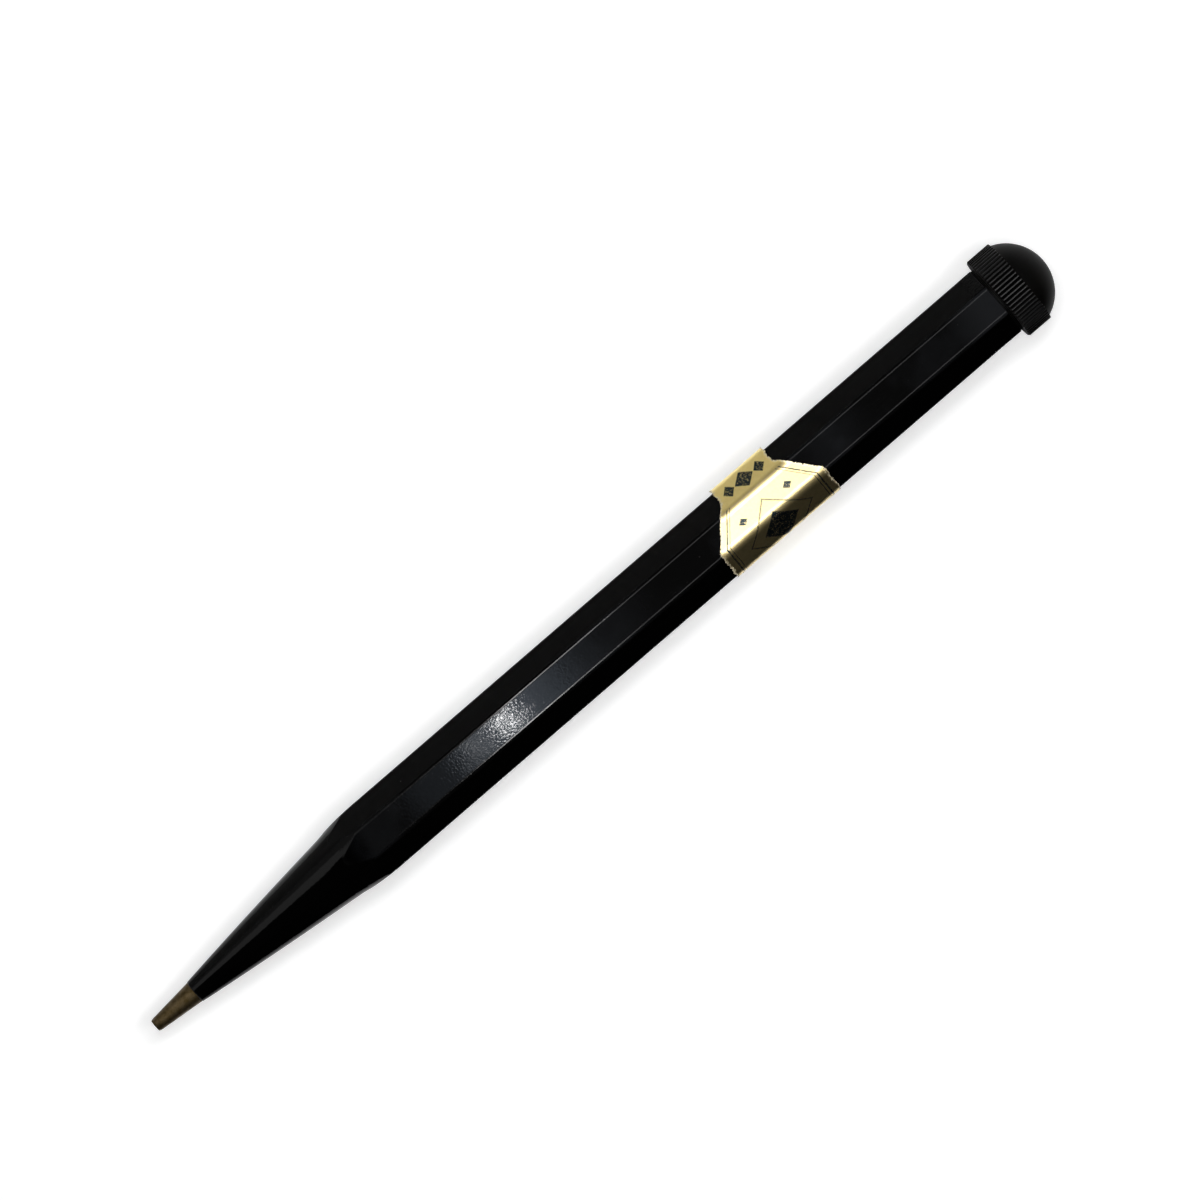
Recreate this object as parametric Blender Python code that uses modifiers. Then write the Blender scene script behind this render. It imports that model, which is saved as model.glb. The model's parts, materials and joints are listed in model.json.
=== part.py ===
"""Screw-feed clutch pencil with an octagonal barrel, a brass nozzle and a knurled end knob.

Turning the knob turns a drive tube with a spiral groove inside it. A follower pin sits in the groove
and in the straight slot of a fixed guide tube, so it can only move along the pencil. It carries the
push rod, the split clutch sleeve and the lead forward. The knob pulls off the drive tube, whose rear
half is the magazine for spare leads.

Lengths are in metres. Every piece is modelled along Z, measured from the nozzle's tip, and the empty
"pencil" lays that axis along world X, with the tip at -X and the lowest point of the knob at Z = 0.
"""

import math

import bmesh
import bpy

# Barrel and its turned front
ACROSS_FLATS = 0.0090
BARREL_LENGTH = 0.1212
FRONT_LENGTH = 0.0229
FRONT_WALL = 0.00035
FRONT_BULGE = 0.00010
FACET_COUNT = 8
FACET_RUNOUT = 0.0034
FACET_ROLL_LENGTH = 0.0047
FACET_ROLL_DEPTH = 0.00031
FACET_LIP = 0.00007

# Nozzle
NOZZLE_LENGTH = 0.0060
NOZZLE_STEP = 0.00007
NOZZLE_TIP_WALL = 0.00015
NOZZLE_TIP_EDGE = 0.00008
NOSE_HOLE_LENGTH = 0.0025
TAIL_WALL = 0.00020
TAIL_THREAD_LENGTH = 0.0030

# Lead and the parts that carry it
LEAD_DIAMETER = 0.00118
LEAD_RECESS = 0.0005
FEED_TRAVEL = 0.0300
FEED_END_PLAY = 0.0005
CLUTCH_WALL = 0.00018
CLUTCH_GRIP_LENGTH = 0.0035
CLUTCH_SLIT = 0.00025
CARRIER_DIAMETER = 0.0029
CARRIER_LENGTH = 0.0080
PIN_DIAMETER = 0.0009
PIN_SEAT_WALL = 0.0005

# Guide tube, its bush and the drive tube
SHOULDER_SETBACK = 0.0006
BUSH_LENGTH = 0.0060
GUIDE_SOCKET_DEPTH = 0.0020
GUIDE_WALL = 0.00054
GROOVE_DEPTH = 0.00043
GROOVE_PITCH = 0.0050
DRIVE_WALL = 0.00035
MAGAZINE_FLOOR_THICKNESS = 0.0015
SPARE_LEAD_COUNT = 3
THRUST_WASHER_THICKNESS = 0.0004

# Rear bearing
COUNTERBORE_STEP = 0.00045
BUSHING_LENGTH = 0.0040
COLLAR_LENGTH = 0.0030
WAVE_WASHER_THICKNESS = 0.0002
WAVE_HEIGHT = 0.0004
WAVE_COUNT = 3

# Knob and its plug
KNOB_GAP = 0.00035
RIM_DIAMETER = 0.0111
RIM_HEIGHT = 0.0033
RIB_COUNT = 68
RIB_DEPTH = 0.0002
DOME_INSET = 0.0003
DOME_HEIGHT = 0.0036
PLUG_REACH = 0.0115
PLUG_SEAT_DEPTH = 0.0040
PLUG_WALL = 0.0008
PLUG_SLIT = 0.0006

# Foil band
FOIL_THICKNESS = 0.00012
FOIL_CENTRE = 0.0860
STRIP_LENGTH = 0.0077
BADGE_LENGTH = 0.0156

# Clearances
SEAT_GAP = 0.00003
SLIDE_GAP = 0.00006
RUN_GAP = 0.00012
END_GAP = 0.00010
LOOSE_GAP = 0.0003

# Fineness of the round surfaces
ROUND_STEPS = 32
FRONT_STEPS = 48
PIN_STEPS = 20
GROOVE_STEPS_PER_TURN = 24
CURVE_POINTS = 7

# Radii, worked outwards from the lead
lead_radius = LEAD_DIAMETER / 2
nose_hole_radius = lead_radius + SLIDE_GAP
clutch_bore = lead_radius + SEAT_GAP
clutch_radius = clutch_bore + CLUTCH_WALL
tail_bore = clutch_radius + SLIDE_GAP
tail_radius = tail_bore + TAIL_WALL
front_hole_radius = tail_radius + SEAT_GAP
front_radius = front_hole_radius + FRONT_WALL
pin_radius = PIN_DIAMETER / 2
carrier_radius = CARRIER_DIAMETER / 2
guide_bore = carrier_radius + SLIDE_GAP
guide_radius = guide_bore + GUIDE_WALL
drive_bore = guide_radius + RUN_GAP
groove_radius = drive_bore + GROOVE_DEPTH
drive_radius = groove_radius + DRIVE_WALL
barrel_bore = drive_radius + RUN_GAP
rear_bore = barrel_bore + COUNTERBORE_STEP
rim_radius = RIM_DIAMETER / 2
flat_radius = ACROSS_FLATS / 2
ridge_share = 1 / math.cos(math.pi / FACET_COUNT)

# Heights, measured from the nozzle's tip
front_end = NOZZLE_LENGTH
facet_tip = front_end + FRONT_LENGTH
barrel_end = front_end + BARREL_LENGTH
clutch_front = NOSE_HOLE_LENGTH + FEED_END_PLAY + FEED_TRAVEL
lead_rear = clutch_front + CLUTCH_GRIP_LENGTH
rod_front = lead_rear + END_GAP
clutch_rear = rod_front + CLUTCH_GRIP_LENGTH
shoulder = facet_tip + SHOULDER_SETBACK
bush_front = shoulder + SEAT_GAP
bush_rear = bush_front + BUSH_LENGTH
tail_end = bush_front + TAIL_THREAD_LENGTH
guide_front = bush_rear - GUIDE_SOCKET_DEPTH
washer_front = bush_rear + SEAT_GAP
drive_front = washer_front + THRUST_WASHER_THICKNESS + END_GAP
carrier_front = bush_rear + FEED_END_PLAY + FEED_TRAVEL
carrier_rear = carrier_front + CARRIER_LENGTH
follower_height = (carrier_front + carrier_rear) / 2
rod_seat_depth = CARRIER_LENGTH / 2 - pin_radius - PIN_SEAT_WALL
guide_rear = carrier_rear + FEED_END_PLAY
floor_front = guide_rear + LOOSE_GAP
floor_rear = floor_front + MAGAZINE_FLOOR_THICKNESS
drive_rear = barrel_end - END_GAP
bushing_rear = barrel_end - SEAT_GAP
bushing_front = bushing_rear - BUSHING_LENGTH
wave_washer_middle = bushing_front - END_GAP - (WAVE_HEIGHT + WAVE_WASHER_THICKNESS) / 2
collar_rear = wave_washer_middle - (WAVE_HEIGHT + WAVE_WASHER_THICKNESS) / 2 - END_GAP
collar_front = collar_rear - COLLAR_LENGTH
rear_shoulder = collar_front - LOOSE_GAP
knob_front = barrel_end + KNOB_GAP
rim_rear = knob_front + RIM_HEIGHT
knob_rear = rim_rear + DOME_HEIGHT
plug_front = knob_front - PLUG_REACH
plug_rear = knob_front + PLUG_SEAT_DEPTH
foil_height = front_end + FOIL_CENTRE

# Directions round the pencil's axis
FACET_ANGLE = 2 * math.pi / FACET_COUNT
UP_ANGLE = math.pi
BADGE_ANGLE = UP_ANGLE + FACET_ANGLE


def start_scene():
    """Empty the scene and return the axis empty and the collections for the parts and the cutters."""
    for leftover in list(bpy.data.objects):
        bpy.data.objects.remove(leftover, do_unlink=True)
    parts = bpy.data.collections.new("clutch_pencil")
    cutters = bpy.data.collections.new("cutters")
    for collection in (parts, cutters):
        bpy.context.scene.collection.children.link(collection)
    axis = bpy.data.objects.new("pencil", None)
    axis.location = (-knob_rear / 2, 0, rim_radius)
    axis.rotation_euler = (0, math.pi / 2, 0)
    parts.objects.link(axis)
    return axis, parts, cutters


pencil, part_collection, cutter_collection = start_scene()


def finish_material(name, colour, roughness, metallic):
    """A plain Principled material."""
    material = bpy.data.materials.new(name)
    material.use_nodes = True
    shader = material.node_tree.nodes["Principled BSDF"]
    shader.inputs["Base Color"].default_value = (*colour, 1)
    shader.inputs["Roughness"].default_value = roughness
    shader.inputs["Metallic"].default_value = metallic
    return material


FINISHES = {
    "barrel_black": ((0.012, 0.012, 0.013), 0.28, 0.0),
    "knob_black": ((0.016, 0.016, 0.014), 0.55, 0.0),
    "brass": ((0.36, 0.28, 0.13), 0.38, 1.0),
    "dull_brass": ((0.22, 0.18, 0.09), 0.48, 1.0),
    "gold_foil": ((0.62, 0.47, 0.20), 0.35, 1.0),
    "steel": ((0.50, 0.50, 0.51), 0.30, 1.0),
    "graphite": ((0.05, 0.05, 0.055), 0.45, 0.3),
}


def add_object(name, bm, finish=None):
    """Turn a bmesh into an object on the pencil's axis: a part with a finish, or else a hidden cutter."""
    mesh = bpy.data.meshes.new(name)
    bm.to_mesh(mesh)
    bm.free()
    mesh.shade_smooth()
    mesh.set_sharp_from_angle(angle=math.radians(30))
    piece = bpy.data.objects.new(name, mesh)
    piece.parent = pencil
    if finish:
        part_collection.objects.link(piece)
        mesh.materials.append(finish_material(name, *FINISHES[finish]))
    else:
        cutter_collection.objects.link(piece)
        piece.hide_render = True
        piece.display_type = "WIRE"
    return piece


def add_turned(name, outline, finish=None, steps=ROUND_STEPS):
    """A body turned about Z. The (radius, height) outline runs down its outer side first.

    An outline that starts on the axis also ends on it. Any other outline is closed into a ring.
    """
    bm = bmesh.new()
    points = [bm.verts.new((radius, 0, height)) for radius, height in outline]
    for first, second in zip(points, points[1:]):
        bm.edges.new((first, second))
    if outline[0][0] > 0:
        bm.edges.new((points[-1], points[0]))
    piece = add_object(name, bm, finish)
    turn = piece.modifiers.new("Turn", "SCREW")
    turn.axis = "Z"
    turn.angle = 2 * math.pi
    turn.steps = steps
    turn.render_steps = steps
    turn.use_merge_vertices = True
    turn.merge_threshold = 0.000001
    return piece


def add_tube(name, outer, inner, front, rear, finish=None, steps=ROUND_STEPS):
    """A plain turned tube or washer."""
    return add_turned(name, [(outer, rear), (outer, front), (inner, front), (inner, rear)], finish, steps)


def add_rod(name, radius, front, rear, finish=None, steps=ROUND_STEPS):
    """A plain turned rod."""
    return add_turned(name, [(0, rear), (radius, rear), (radius, front), (0, front)], finish, steps)


def add_box(name, size, centre):
    """A box-shaped cutter."""
    bm = bmesh.new()
    bmesh.ops.create_cube(bm, size=1)
    bmesh.ops.scale(bm, vec=size, verts=bm.verts)
    bmesh.ops.translate(bm, vec=centre, verts=bm.verts)
    return add_object(name, bm)


def add_radial_pin(name, radius, inner, outer, finish=None):
    """A round pin that points up, square to the pencil's axis, at the follower's place."""
    bm = bmesh.new()
    bmesh.ops.create_cone(
        bm, cap_ends=True, segments=PIN_STEPS, radius1=radius, radius2=radius, depth=outer - inner
    )
    bmesh.ops.translate(bm, vec=(0, 0, (inner + outer) / 2), verts=bm.verts)
    pin = add_object(name, bm, finish)
    pin.location = (0, 0, follower_height)
    pin.rotation_euler = (0, -math.pi / 2, 0)
    return pin


def combine(piece, other, operation="DIFFERENCE"):
    """Cut a piece by another body, join it to one, or keep what both share."""
    boolean = piece.modifiers.new(other.name, "BOOLEAN")
    boolean.operation = operation
    boolean.object = other


def front_radius_at(height):
    """Radius of the turned front: a straight taper with a slight bulge half way along."""
    share = (height - front_end) / FRONT_LENGTH
    last_radius = flat_radius - FACET_ROLL_DEPTH - FACET_LIP
    return front_radius + (last_radius - front_radius) * share + FRONT_BULGE * 4 * share * (1 - share)


def facet_radius_at(height):
    """Distance of a facet from the axis: flat along the barrel, rolled in towards its front tip."""
    share = max(0, facet_tip + FACET_ROLL_LENGTH - height) / FACET_ROLL_LENGTH
    return flat_radius - FACET_ROLL_DEPTH * min(1, share) ** 2


def make_barrel():
    """Octagonal tube whose front is turned to a taper, so each facet ends in a rounded scallop."""
    overrun = END_GAP * 10
    roll_end = facet_tip + FACET_ROLL_LENGTH
    heights = [roll_end - FACET_ROLL_LENGTH * step / CURVE_POINTS for step in range(CURVE_POINTS + 1)]
    outline = [(0, barrel_end), (flat_radius * ridge_share, barrel_end)]
    outline += [(facet_radius_at(height) * ridge_share, height) for height in heights]
    outline += [(facet_radius_at(facet_tip) * ridge_share, front_end - overrun), (0, front_end - overrun)]
    barrel = add_turned("barrel", outline, "barrel_black", FACET_COUNT)
    barrel.rotation_euler = (0, 0, FACET_ANGLE / 2)

    ridge_end = facet_tip + FACET_RUNOUT
    ridge_radius = facet_radius_at(ridge_end) * ridge_share
    wide = flat_radius * ridge_share + FACET_ROLL_DEPTH
    heights = [facet_tip - FRONT_LENGTH * step / CURVE_POINTS for step in range(CURVE_POINTS + 1)]
    outline = [(0, barrel_end + overrun), (wide, barrel_end + overrun), (wide, ridge_end + FACET_RUNOUT)]
    outline += [(ridge_radius, ridge_end), (facet_radius_at(facet_tip) + FACET_LIP / 2, facet_tip + FACET_LIP)]
    outline += [(front_radius_at(height), height) for height in heights]
    outline += [(0, front_end)]
    combine(barrel, add_turned("turned_front", outline, steps=FRONT_STEPS), "INTERSECT")

    outline = [(0, barrel_end + overrun), (rear_bore, barrel_end + overrun), (rear_bore, rear_shoulder)]
    outline += [(barrel_bore, rear_shoulder), (barrel_bore, shoulder), (front_hole_radius, shoulder)]
    outline += [(front_hole_radius, front_end - overrun), (0, front_end - overrun)]
    combine(barrel, add_turned("barrel_hollow", outline))


def make_nozzle():
    """Tapered brass tip with a long tail tube that screws into the guide bush."""
    base = front_end - SEAT_GAP
    tip_radius = nose_hole_radius + NOZZLE_TIP_WALL
    outline = [(tail_radius, tail_end), (tail_radius, base), (front_radius - NOZZLE_STEP, base)]
    outline += [(tip_radius, NOZZLE_TIP_EDGE), (tip_radius - NOZZLE_TIP_EDGE, 0), (nose_hole_radius, 0)]
    outline += [(nose_hole_radius, NOSE_HOLE_LENGTH), (tail_bore, NOSE_HOLE_LENGTH + FEED_END_PLAY / 2)]
    outline += [(tail_bore, tail_end)]
    add_turned("nozzle", outline, "dull_brass")


def make_label_band():
    """Foil round all facets but the one opposite its badge, where the two ends stop at the ridges."""
    radius = (flat_radius + SEAT_GAP) * ridge_share
    first_angle = BADGE_ANGLE - FACET_ANGLE * (FACET_COUNT - 1) / 2
    bm = bmesh.new()
    ridges = []
    for number in range(FACET_COUNT):
        angle = first_angle + FACET_ANGLE * number
        beside_badge = abs(number - (FACET_COUNT - 1) / 2) < 1
        half_length = (BADGE_LENGTH if beside_badge else STRIP_LENGTH) / 2
        corner = (radius * math.cos(angle), radius * math.sin(angle))
        ridges.append([bm.verts.new((*corner, foil_height + half_length * side)) for side in (-1, 1)])
    rungs = [bm.edges.new(ridge) for ridge in ridges]
    for rung, next_rung in zip(rungs, rungs[1:]):
        bmesh.ops.bridge_loops(bm, edges=[rung, next_rung])
    for face in bm.faces:
        middle = face.calc_center_median()
        if face.normal.x * middle.x + face.normal.y * middle.y < 0:
            face.normal_flip()
    band = add_object("label_band", bm, "gold_foil")
    wall = band.modifiers.new("Thickness", "SOLIDIFY")
    wall.thickness = FOIL_THICKNESS
    wall.offset = 1
    wall.use_even_offset = True


def make_knob():
    """Ribbed rim with a domed end, bored to hold its plug."""
    bm = bmesh.new()
    bmesh.ops.create_cone(
        bm,
        cap_ends=True,
        segments=2 * RIB_COUNT,
        radius1=rim_radius,
        radius2=rim_radius,
        depth=RIM_HEIGHT,
    )
    valley_share = 1 - RIB_DEPTH / rim_radius
    for corner in bm.verts:
        place = round(math.atan2(corner.co.y, corner.co.x) / (math.pi / RIB_COUNT))
        if place % 2:
            corner.co.x *= valley_share
            corner.co.y *= valley_share
    bmesh.ops.translate(bm, vec=(0, 0, knob_front + RIM_HEIGHT / 2), verts=bm.verts)
    knob = add_object("knob", bm, "knob_black")

    dome_radius = rim_radius - DOME_INSET
    sphere_radius = (dome_radius**2 + DOME_HEIGHT**2) / (2 * DOME_HEIGHT)
    last_angle = math.asin(dome_radius / sphere_radius)
    angles = [last_angle * step / CURVE_POINTS for step in range(CURVE_POINTS + 1)]
    top = knob_rear - sphere_radius
    outline = [(sphere_radius * math.sin(angle), top + sphere_radius * math.cos(angle)) for angle in angles]
    outline += [(dome_radius, rim_rear - RIM_HEIGHT / 4), (0, rim_rear - RIM_HEIGHT / 4)]
    combine(knob, add_turned("dome", outline, steps=FRONT_STEPS), "UNION")

    plug_radius = drive_bore - SLIDE_GAP
    seat = add_rod("plug_seat", plug_radius + SEAT_GAP, knob_front - RIM_HEIGHT, plug_rear + SEAT_GAP)
    combine(knob, seat)


def make_knob_plug():
    """Brass plug held in the knob. Its four spring fingers grip the drive tube's mouth."""
    radius = drive_bore - SLIDE_GAP
    outline = [(0, plug_rear), (radius, plug_rear), (radius, plug_front), (radius - PLUG_WALL, plug_front)]
    outline += [(radius - PLUG_WALL, knob_front), (0, knob_front)]
    plug = add_turned("knob_plug", outline, "brass")
    slit_middle = (0, 0, plug_front)
    slit_length = 2 * (PLUG_REACH - KNOB_GAP)
    combine(plug, add_box("plug_slit_1", (3 * radius, PLUG_SLIT, slit_length), slit_middle))
    combine(plug, add_box("plug_slit_2", (PLUG_SLIT, 3 * radius, slit_length), slit_middle))


def make_groove_cutter():
    """Spiral bar that follows the pin's path in the turning drive tube and runs out at its front end."""
    groove_width = PIN_DIAMETER + 2 * RUN_GAP
    behind = -(pin_radius + RUN_GAP) / drive_bore
    ahead = 2 * math.pi * (follower_height - drive_front + groove_width) / GROOVE_PITCH
    steps = math.ceil((ahead - behind) / (2 * math.pi) * GROOVE_STEPS_PER_TURN)
    start_angle = UP_ANGLE + behind
    start_height = follower_height - GROOVE_PITCH * behind / (2 * math.pi)
    fall = GROOVE_PITCH * (ahead - behind) / (2 * math.pi) / steps
    bm = bmesh.new()
    corners = []
    for radius, side in ((guide_radius, -1), (groove_radius, -1), (groove_radius, 1), (guide_radius, 1)):
        height = start_height + side * groove_width / 2
        corners.append(bm.verts.new((radius * math.cos(start_angle), radius * math.sin(start_angle), height)))
    end_face = bm.faces.new(corners)
    bmesh.ops.spin(
        bm,
        geom=[end_face],
        cent=(0, 0, 0),
        axis=(0, 0, 1),
        dvec=(0, 0, -fall),
        angle=ahead - behind,
        steps=steps,
        use_merge=False,
        use_duplicate=False,
    )
    bmesh.ops.recalc_face_normals(bm, faces=bm.faces)
    return add_object("spiral_groove", bm)


def make_drive():
    """Drive tube with the spiral groove, its collar, the magazine's floor and the spare leads."""
    drive_tube = add_tube("drive_tube", drive_radius, drive_bore, drive_front, drive_rear, "brass")
    combine(drive_tube, make_groove_cutter())
    add_tube(
        "drive_collar", rear_bore - RUN_GAP, drive_radius + SEAT_GAP, collar_front, collar_rear, "brass"
    )
    add_rod("magazine_floor", drive_bore - SEAT_GAP, floor_front, floor_rear, "brass")

    orbit = drive_bore - lead_radius - SLIDE_GAP
    spread = 2 * math.asin((lead_radius + SLIDE_GAP) / orbit)
    for number in range(SPARE_LEAD_COUNT):
        angle = spread * (number - (SPARE_LEAD_COUNT - 1) / 2)
        spare = add_rod(
            f"spare_lead_{number + 1}",
            lead_radius,
            floor_rear + LOOSE_GAP,
            plug_front - LOOSE_GAP,
            "graphite",
            PIN_STEPS,
        )
        spare.location = (orbit * math.cos(angle), orbit * math.sin(angle), 0)


def make_rear_bearing():
    """Bushing in the barrel's rear end and the wave washer that gives the knob its drag."""
    add_tube(
        "rear_bushing", rear_bore - SEAT_GAP, drive_radius + SLIDE_GAP, bushing_front, bushing_rear, "brass"
    )
    inner = drive_radius + RUN_GAP
    outer = rear_bore - RUN_GAP
    bm = bmesh.new()
    half = WAVE_WASHER_THICKNESS / 2
    ring = [bm.verts.new((outer, 0, half)), bm.verts.new((outer, 0, -half))]
    ring += [bm.verts.new((inner, 0, -half)), bm.verts.new((inner, 0, half))]
    edges = [bm.edges.new((ring[side - 1], ring[side])) for side in range(len(ring))]
    bmesh.ops.spin(
        bm, geom=edges, axis=(0, 0, 1), angle=2 * math.pi, steps=FRONT_STEPS, use_merge=True
    )
    bmesh.ops.recalc_face_normals(bm, faces=bm.faces)
    for corner in bm.verts:
        wave = math.cos(WAVE_COUNT * math.atan2(corner.co.y, corner.co.x))
        corner.co.z += wave_washer_middle + WAVE_HEIGHT / 2 * wave
    add_object("drag_washer", bm, "steel")


def make_guide():
    """Bush behind the barrel's shoulder, the thrust washer on it and the slotted guide tube."""
    socket_radius = guide_radius + SEAT_GAP
    outline = [(barrel_bore - SEAT_GAP, bush_rear), (barrel_bore - SEAT_GAP, bush_front)]
    outline += [(tail_radius + SEAT_GAP, bush_front), (tail_radius + SEAT_GAP, tail_end + END_GAP)]
    outline += [(tail_bore, tail_end + END_GAP), (tail_bore, guide_front - SEAT_GAP)]
    outline += [(socket_radius, guide_front - SEAT_GAP), (socket_radius, bush_rear)]
    add_turned("guide_bush", outline, "brass")

    add_tube(
        "front_thrust_washer",
        barrel_bore - RUN_GAP,
        guide_radius + SLIDE_GAP,
        washer_front,
        washer_front + THRUST_WASHER_THICKNESS,
        "steel",
    )

    guide_tube = add_tube("guide_tube", guide_radius, guide_bore, guide_front, guide_rear, "brass")
    slot_front = follower_height - FEED_TRAVEL - pin_radius - FEED_END_PLAY
    slot_length = guide_rear - slot_front + LOOSE_GAP
    slot_size = (2 * guide_radius, PIN_DIAMETER + 2 * SLIDE_GAP, slot_length)
    combine(guide_tube, add_box("guide_slot", slot_size, (-guide_radius, 0, slot_front + slot_length / 2)))


def make_feed():
    """Carrier with its follower pin, push rod and clutch sleeve, and the lead in use."""
    rod_seat = carrier_front + rod_seat_depth
    rod_hole = lead_radius + SEAT_GAP
    outline = [(0, carrier_rear), (carrier_radius, carrier_rear), (carrier_radius, carrier_front)]
    outline += [(rod_hole, carrier_front), (rod_hole, rod_seat), (0, rod_seat)]
    carrier = add_turned("lead_carrier", outline, "brass")
    pin_outer = groove_radius - RUN_GAP
    add_radial_pin("follower_pin", pin_radius, lead_radius, pin_outer, "steel")
    combine(carrier, add_radial_pin("pin_hole", pin_radius + SEAT_GAP, lead_radius - SEAT_GAP, pin_outer))

    add_rod("push_rod", lead_radius, rod_front, rod_seat - SEAT_GAP, "steel", PIN_STEPS)
    clutch = add_tube("lead_clutch", clutch_radius, clutch_bore, clutch_front, clutch_rear, "brass", PIN_STEPS)
    slit_length = 2 * (clutch_rear - clutch_front)
    slit_middle = (-clutch_radius, 0, (clutch_front + clutch_rear) / 2)
    combine(clutch, add_box("clutch_slit", (2 * clutch_bore, CLUTCH_SLIT, slit_length), slit_middle))
    add_rod("lead", lead_radius, LEAD_RECESS, lead_rear, "graphite", PIN_STEPS)


make_barrel()
make_nozzle()
make_label_band()
make_knob()
make_knob_plug()
make_drive()
make_rear_bearing()
make_guide()
make_feed()
bpy.context.view_layer.update()
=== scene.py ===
"""Looks of the screw-feed clutch pencil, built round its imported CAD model.

The barrel, the nozzle, the foil band, the knob with its plug and the lead get finer pieces. The
rest of the mechanism keeps its CAD shapes. Lengths are in metres, in the CAD frame: the pencil
lies along X with its tip at -X.
"""

import json
import math

import bmesh
import bpy
from mathutils import Matrix, Vector, noise


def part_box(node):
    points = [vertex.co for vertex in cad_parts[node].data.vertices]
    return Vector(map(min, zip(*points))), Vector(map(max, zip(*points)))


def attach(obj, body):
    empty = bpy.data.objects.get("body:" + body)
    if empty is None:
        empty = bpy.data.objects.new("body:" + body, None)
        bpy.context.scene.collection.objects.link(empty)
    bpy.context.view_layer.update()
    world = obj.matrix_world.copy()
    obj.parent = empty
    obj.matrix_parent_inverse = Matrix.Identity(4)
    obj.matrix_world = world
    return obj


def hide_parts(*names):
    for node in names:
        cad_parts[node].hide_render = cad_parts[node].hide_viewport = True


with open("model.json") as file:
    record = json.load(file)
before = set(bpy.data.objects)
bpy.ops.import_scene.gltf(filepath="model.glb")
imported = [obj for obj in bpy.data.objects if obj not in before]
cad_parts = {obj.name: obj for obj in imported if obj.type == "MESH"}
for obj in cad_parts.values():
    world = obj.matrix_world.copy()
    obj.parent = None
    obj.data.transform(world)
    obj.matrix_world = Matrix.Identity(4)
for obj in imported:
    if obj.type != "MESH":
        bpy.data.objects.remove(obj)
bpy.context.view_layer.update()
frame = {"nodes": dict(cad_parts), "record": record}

MM = 0.001
MICRON = 1e-6

# Places taken from the CAD model
tip_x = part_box("nozzle")[0].x
barrel_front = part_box("barrel")[0].x
barrel_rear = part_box("barrel")[1].x
flat_radius = (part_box("barrel")[1].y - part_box("barrel")[0].y) / 2
knob_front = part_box("knob")[0].x
knob_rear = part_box("knob")[1].x
rim_radius = (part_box("knob")[1].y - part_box("knob")[0].y) / 2
axis_height = (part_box("knob")[0].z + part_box("knob")[1].z) / 2
nozzle_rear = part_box("nozzle")[1].x
plug_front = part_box("knob_plug")[0].x
plug_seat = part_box("knob_plug")[1].x
foil_middle = (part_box("label_band")[0].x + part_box("label_band")[1].x) / 2
badge_half = (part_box("label_band")[1].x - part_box("label_band")[0].x) / 2

# Barrel, as in the CAD model apart from its rounded ridges and edges
FACET_COUNT = 8
RIDGE_ROUND = 0.70 * MM
FRONT_RADIUS = 1.44 * MM
FRONT_LENGTH = 22.9 * MM
FRONT_BULGE = 0.10 * MM
FRONT_EDGE = 0.06 * MM
FACET_RUNOUT = 3.4 * MM
FACET_ROLL_LENGTH = 4.7 * MM
FACET_ROLL_DEPTH = 0.31 * MM
FACET_LIP = 0.07 * MM
LIP_RISE = 1.5
LIP_SPREAD = math.radians(11)
RUNOUT_LEAD = 3.0 * MM
SCALLOP_EDGE = 0.12 * MM
REAR_EDGE = 0.10 * MM
BORE_RADIUS = 3.07 * MM
REAR_BORE_RADIUS = 3.52 * MM
REAR_BORE_DEPTH = 8.13 * MM
FRONT_HOLE_RADIUS = 1.09 * MM
SHOULDER_SETBACK = 0.6 * MM
FLAT_BORDER = 0.03 * MM
FLAT_COLUMNS = 12
ROUND_COLUMNS = 8
CONE_ROWS = 20
RUNOUT_ROWS = 14
SCALLOP_ROWS = 12
LENGTH_ROWS = 14
REAR_EDGE_ROWS = 4
SEARCH_STEPS = 40
NO_WEAR = 0.0
SCALLOP_WEAR = 0.5
FRONT_WEAR = 0.6
FULL_WEAR = 1.0

# Nozzle
NOZZLE_BASE_RADIUS = 1.37 * MM
NOZZLE_TIP_RADIUS = 0.80 * MM
NOZZLE_TIP_EDGE = 0.32 * MM
NOZZLE_TIP_WALL = 0.14 * MM
NOZZLE_BASE_EDGE = 0.05 * MM
NOSE_HOLE_RADIUS = 0.65 * MM
NOSE_HOLE_LENGTH = 2.5 * MM
TAIL_RADIUS = 1.06 * MM
TAIL_BORE = 0.86 * MM
NOZZLE_ROWS = 8
NOZZLE_TIP_ROWS = 6
NOZZLE_STEPS = 96

# Knob
RIM_HEIGHT = 3.3 * MM
RIM_EDGE = 0.16 * MM
RIB_COUNT = 68
RIB_DEPTH = 0.28 * MM
RIB_COLUMNS = 12
RIB_SHAPE = 2.6
RIB_END = 0.05 * MM
DOME_INSET = 0.30 * MM
BOSS_RADIUS = 4.40 * MM
BOSS_HEIGHT = 0.31 * MM
PLUG_BORE = 2.14 * MM
DOME_ROWS = 26
RIM_ROWS = 6

# Plug in the knob, and the lead in use
PLUG_RADIUS = 2.11 * MM
PLUG_WALL = 0.80 * MM
PLUG_EDGE = 0.08 * MM
PLUG_STEPS = 88
FINGER_COUNT = 4
SLIT_COLUMNS = 4
LEAD_RADIUS = 0.59 * MM
LEAD_EDGE = 0.15 * MM
LEAD_EDGE_ROWS = 4
LEAD_STEPS = 48

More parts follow.
